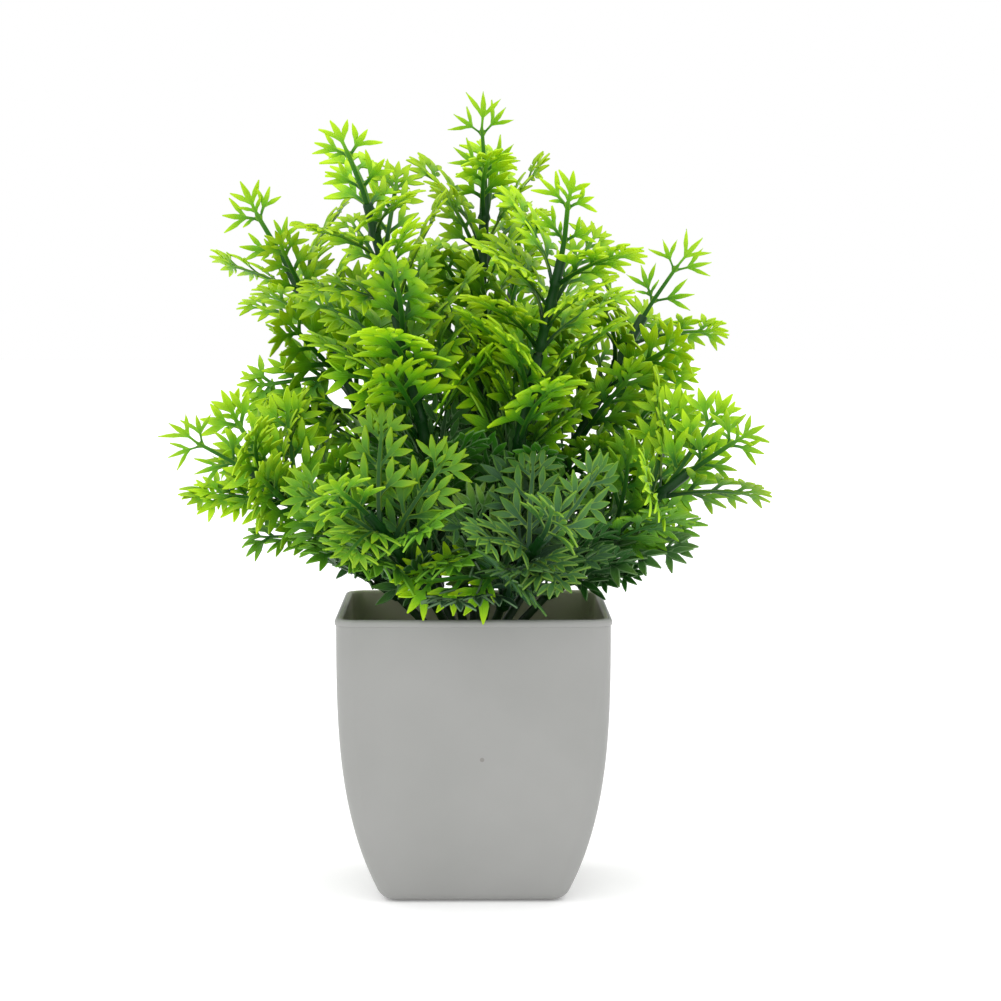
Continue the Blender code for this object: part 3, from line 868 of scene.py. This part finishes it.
for number, stem in enumerate(STEMS, 1):
    root = stem_root(number)
    for spray in SPRAYS:
        length = stem_length(stem)
        is_tip = spray.share == 1
        along = length * spray.share - (COLLAR_LENGTH if is_tip else 0)
        bore_top = length - along + COLLAR_GAP
        kind = KINDS[spray.name]
        low = min(max(length * spray.begin, CLEAR_OF_POT) - along, 0)
        top = bore_top + CAP_THICKNESS if is_tip else length * spray.end - along
        pairs = max(2, round((top - low) / spray.step))
        heights = [low + FIRST_NODE + (top - low - NODE_MARGIN) * step / pairs for step in range(pairs)]
        inner = stem_radius(stem, along + low) + COLLAR_GAP
        place = root @ on_stem(stem, along)
        shape = bmesh.new()
        add_to(shape, shape_collar(inner, low, top, heights, is_tip), place)
        sharpen(shape, COLLAR_SHARP_ANGLE)
        lean = spray_lean(stem, along, spray.length)
        for frond in range(2 * pairs):
            pair, side = divmod(frond, 2)
            turn = math.radians(stem.turn + spray.turn + 90 * pair + 180 * side + chance.uniform(-20, 20))
            lift = heights[pair] + chance.uniform(-0.0005, 0.0005)
            leaned = lean + math.radians(spray.open + chance.uniform(-8, 12))
            spot = place @ Matrix.Translation((0, 0, lift))
            spot = raised(spot @ frond_place(inner + SLEEVE_WALL / 2, leaned, turn), spray.lowest)
            spot = spot @ Matrix.Rotation(math.radians(chance.uniform(-45, 45)), 4, "Y")
            outer_end = spot @ Vector((0, kind.length, 0))
            # Painted shade: a frond's tips get less lime the deeper and lower it stands in the bush.
            look = Look(
                scale=chance.uniform(0.84, 1.05), curl=math.radians(chance.uniform(-4, spray.curl)),
                twist=math.radians(chance.uniform(-28, 28)), tone=chance.uniform(-0.8, 0.8),
                dust=stem.dust * spray.dust,
                ripest=lime_with_painted_shade(outer_end, spray) * (1 - DUST_DULLS * stem.dust),
            )
            add_frond(shape, chance.choice(fronds[spray.name]), kind.length, spot, look)
        for loose in LOOSE:
            if (loose.stem, loose.spray) == (number, spray.name):
                foot = (root @ on_stem(stem, loose.along)).translation
                spot = faced_place(foot, loose.way, loose.face)
                add_frond(shape, fronds["mid"][0], KINDS["mid"].length, spot, loose.look)
        if is_tip:
            look = Look(
                scale=1.0, curl=math.radians(12), twist=0.0, tone=0.5, dust=stem.dust * spray.dust,
                ripest=1.05 * (1 - DUST_DULLS * stem.dust),
            )
            foot = place @ Matrix.Translation((0, 0, bore_top - END_FROND_SUNK))
            front = place.to_3x3().inverted() @ Vector((0, -1, 0))
            turn = math.atan2(front.y, front.x) + math.radians(chance.uniform(-25, 25))
            spot = foot @ frond_place(0, 0, turn)
            add_frond(shape, chance.choice(fronds["end"]), KINDS["end"].length, spot, look)
        add_piece(
            f"fronds_{number:02d}_{spray.name}", shape, leaf_surfaces[spray.name], f"branch_{number:02d}",
            f"leaf_{spray.name}", f"leaves_{number:02d}_{spray.name}",
        )

# ---------------------------------------------------------------------------------------------------------------
# Studio: a plain pale floor just under the pot, soft even light from all round and a broad light from above at
# the front, and the camera a little above the rim.

FLOOR_HALF = 6.0
FLOOR_GAP = 0.0002
CAMERA_DISTANCE = 0.8200
CAMERA_ELEVATION = math.radians(6.6)
CAMERA_LENS = 98.2
CAMERA_AIM = Vector((0.0081, 0, 0.1157))
RIM_MIDDLE = Vector((0, 0, POT_HEIGHT))

floor_shape = bmesh.new()
bmesh.ops.create_grid(floor_shape, x_segments=1, y_segments=1, size=FLOOR_HALF)
bmesh.ops.translate(floor_shape, verts=floor_shape.verts[:], vec=(0, 0, -FLOOR_GAP))
floor_mesh = bpy.data.meshes.new("floor")
floor_shape.to_mesh(floor_mesh)
floor_shape.free()
floor = bpy.data.objects.new("floor", floor_mesh)
bpy.context.scene.collection.objects.link(floor)
floor_surface, floor_tree, floor_node = new_surface("pale_floor")
floor_shader = floor_tree.nodes["Principled BSDF"]
floor_shader.inputs["Base Color"].default_value = (0.95, 0.95, 0.95, 1)
floor_shader.inputs["Roughness"].default_value = 0.9
floor_shader.inputs["Emission Color"].default_value = (1, 1, 1, 1)
floor_shader.inputs["Emission Strength"].default_value = 0.15
floor_mesh.materials.append(floor_surface)

world = bpy.data.worlds.new("studio")
bpy.context.scene.world = world
world.use_nodes = True
world_nodes = world.node_tree.nodes
backdrop = world_nodes.new("ShaderNodeLightPath")
strength = world_nodes.new("ShaderNodeMapRange")
strength.inputs["To Min"].default_value = 0.80
strength.inputs["To Max"].default_value = 1.0
world.node_tree.links.new(backdrop.outputs["Is Camera Ray"], strength.inputs["Value"])
world.node_tree.links.new(strength.outputs["Result"], world_nodes["Background"].inputs["Strength"])
world_nodes["Background"].inputs["Color"].default_value = (1, 1, 1, 1)

light = bpy.data.lights.new("overhead", "SUN")
light.angle = math.radians(110)
light.energy = 1.9
overhead = bpy.data.objects.new("overhead", light)
overhead.location = (-0.15, -0.45, 1.4)
overhead.rotation_euler = (Vector((0, 0, 0.1)) - overhead.location).to_track_quat("-Z", "Y").to_euler()
bpy.context.scene.collection.objects.link(overhead)

lens = bpy.data.cameras.new("camera")
lens.lens = CAMERA_LENS
camera = bpy.data.objects.new("camera", lens)
back = Vector((0, -math.cos(CAMERA_ELEVATION), math.sin(CAMERA_ELEVATION)))
camera.location = RIM_MIDDLE + back * CAMERA_DISTANCE
camera.rotation_euler = (CAMERA_AIM - camera.location).to_track_quat("-Z", "Y").to_euler()
bpy.context.scene.collection.objects.link(camera)
bpy.context.scene.camera = camera
bpy.context.scene.view_settings.view_transform = "Standard"
